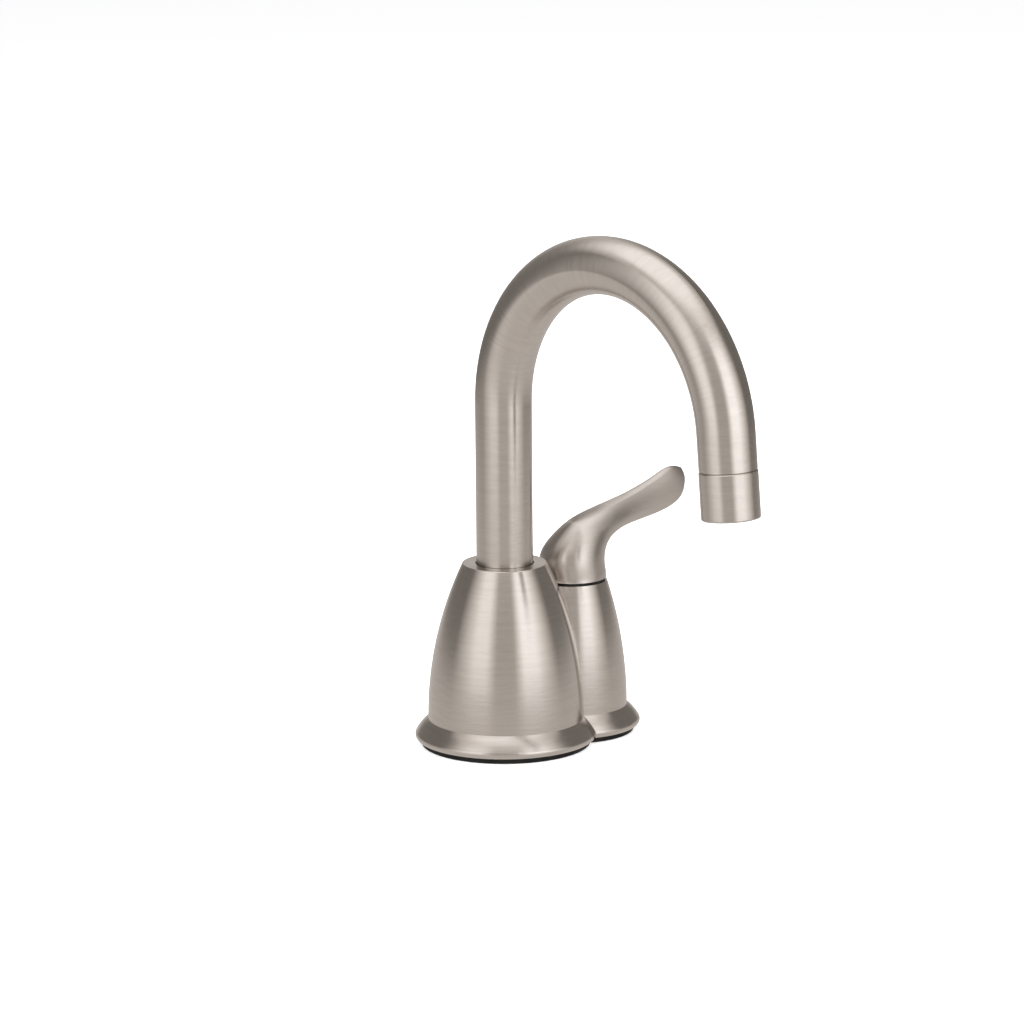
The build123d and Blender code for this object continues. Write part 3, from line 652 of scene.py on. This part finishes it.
class FAUCET_OT_stage(Operator):
    """Floor, light tent, lamps and camera."""

    bl_idname = "faucet.build_stage"
    bl_label = "Build stage"

    def execute(self, context):
        settings = context.scene.faucet_stage
        self.floor(settings)
        self.tent(settings)
        self.world()
        self.lamps(settings)
        self.camera(context, settings)
        context.scene.view_settings.view_transform = "Standard"
        return {"FINISHED"}

    def floor(self, settings):
        """Pale floor that keeps the shadow and is lifted to white where it is looked at."""
        graph = new_finish("pale_floor")
        diffuse = graph.add("ShaderNodeBsdfDiffuse")
        diffuse.inputs["Color"].default_value = FLOOR_COLOUR
        glow = graph.add("ShaderNodeEmission")
        graph.link(graph.math("MULTIPLY", graph.seen(), settings.floor_level),
                   glow.inputs["Strength"])
        both = graph.add("ShaderNodeAddShader")
        graph.link(diffuse.outputs[0], both.inputs[0])
        graph.link(glow.outputs[0], both.inputs[1])
        graph.shade(both)
        half = FLOOR_HALF
        corners = [(-half, -half, 0), (half, -half, 0), (half, half, 0), (-half, half, 0)]
        floor = stage_piece("floor", corners, [(0, 1, 2, 3)], graph)
        floor.location.z = CAD_BOX[0][2] - FLOOR_DROP

    def tent(self, settings):
        """Upright wall round the object with a flat top and foot, seen only by gloss."""
        radius, height = settings.tent_radius, settings.tent_height
        foot = CAD_BOX[0][2] - TENT_DROP
        outline = [(TENT_HUB, foot), (radius, foot), (radius, height), (TENT_HUB, height)]
        turns = [2 * math.pi * side / TENT_SIDES for side in range(TENT_SIDES)]
        points = [(r * math.cos(turn), r * math.sin(turn), z)
                  for r, z in outline for turn in turns]
        faces = []
        for ring in range(len(outline) - 1):
            low, high = ring * TENT_SIDES, (ring + 1) * TENT_SIDES
            for side in range(TENT_SIDES):
                following = (side + 1) % TENT_SIDES
                faces.append((low + following, low + side, high + side, high + following))
        graph, colour = tent_cloth(height)
        glow = graph.add("ShaderNodeEmission")
        graph.link(colour, glow.inputs["Color"])
        glow.inputs["Strength"].default_value = settings.tent_level * TENT_TOP
        graph.shade(glow)
        tent = stage_piece("light_tent", points, faces, graph)
        for ray in ("camera", "diffuse", "transmission", "volume_scatter", "shadow"):
            setattr(tent, "visible_" + ray, False)

    def world(self):
        """Plain light from all round, white where it is looked at."""
        graph = Graph(bpy.data.worlds.new("studio"), "ShaderNodeOutputWorld")
        glow = graph.add("ShaderNodeBackground")
        graph.link(graph.mix(graph.seen(), WORLD_LIGHT, WORLD_SEEN), glow.inputs["Color"])
        graph.shade(glow)
        bpy.context.scene.world = graph.owner

    def lamps(self, settings):
        """Large soft lamps for the floor and the parts that aren't metal."""
        aim = Vector(LAMPS_AIM)
        for name, turn, lift, distance, size, share in LAMPS:
            data = bpy.data.lights.new(name, "AREA")
            data.shape = "SQUARE"
            data.size = size
            data.energy = settings.lamp_level * share
            lamp = bpy.data.objects.new(name, data)
            angle, rise = CAMERA_SIDE + math.radians(turn), math.radians(lift)
            lamp.location = aim + distance * Vector((
                math.cos(angle) * math.cos(rise), math.sin(angle) * math.cos(rise),
                math.sin(rise)))
            lamp.rotation_euler = (aim - lamp.location).to_track_quat("-Z", "Y").to_euler()
            lamp.visible_glossy = False
            bpy.context.collection.objects.link(lamp)

    def camera(self, context, settings):
        """Camera at the photograph's angle, from its distance, height, tilt and roll."""
        forward = Vector((math.sin(CAMERA_PAN) * math.cos(CAMERA_TILT),
                          math.cos(CAMERA_PAN) * math.cos(CAMERA_TILT), -math.sin(CAMERA_TILT)))
        right = Vector((math.cos(CAMERA_PAN), -math.sin(CAMERA_PAN), 0.0))
        up = right.cross(forward)
        side = math.cos(CAMERA_ROLL) * right + math.sin(CAMERA_ROLL) * up
        top = -math.sin(CAMERA_ROLL) * right + math.cos(CAMERA_ROLL) * up
        matrix = Matrix((side, top, -forward)).transposed().to_4x4()
        matrix.translation = (0.0, -CAMERA_DISTANCE * math.cos(CAMERA_RISE),
                              CAMERA_DISTANCE * math.sin(CAMERA_RISE))
        data = bpy.data.cameras.new("camera")
        data.lens = settings.lens
        data.sensor_width = CAMERA_SENSOR
        data.shift_x, data.shift_y = -CAMERA_SHIFT, CAMERA_SHIFT
        data.clip_start, data.clip_end = CAMERA_CLIP
        camera = bpy.data.objects.new("camera", data)
        camera.matrix_world = Matrix.Rotation(CAMERA_ROUND, 4, "Z") @ matrix
        context.collection.objects.link(camera)
        context.scene.camera = camera


STEPS = (FAUCET_OT_bells, FAUCET_OT_spout, FAUCET_OT_lever, FAUCET_OT_seals, FAUCET_OT_metals,
         FAUCET_OT_bearings, FAUCET_OT_stage)


class FAUCET_PT_sidebar(Panel):
    """Lists the faucet's finishes, its stage and their settings."""

    bl_idname = "FAUCET_PT_sidebar"
    bl_label = "Hot water faucet"
    bl_space_type = "VIEW_3D"
    bl_region_type = "UI"
    bl_category = "Faucet"

    def draw(self, context):
        column = self.layout.column()
        for group in (context.scene.faucet_finish, context.scene.faucet_stage):
            for key in group.__annotations__:
                column.prop(group, key)
        for step in STEPS:
            column.operator(step.bl_idname)


CLASSES = (FinishSettings, StageSettings, *STEPS, FAUCET_PT_sidebar)


def register():
    for cls in CLASSES:
        bpy.utils.register_class(cls)
    bpy.types.Scene.faucet_finish = PointerProperty(type=FinishSettings)
    bpy.types.Scene.faucet_stage = PointerProperty(type=StageSettings)


def unregister():
    del bpy.types.Scene.faucet_stage
    del bpy.types.Scene.faucet_finish
    for cls in reversed(CLASSES):
        bpy.utils.unregister_class(cls)


def main():
    register()
    for step in STEPS:
        group, name = step.bl_idname.split(".")
        getattr(getattr(bpy.ops, group), name)()


if __name__ == "__main__":
    main()
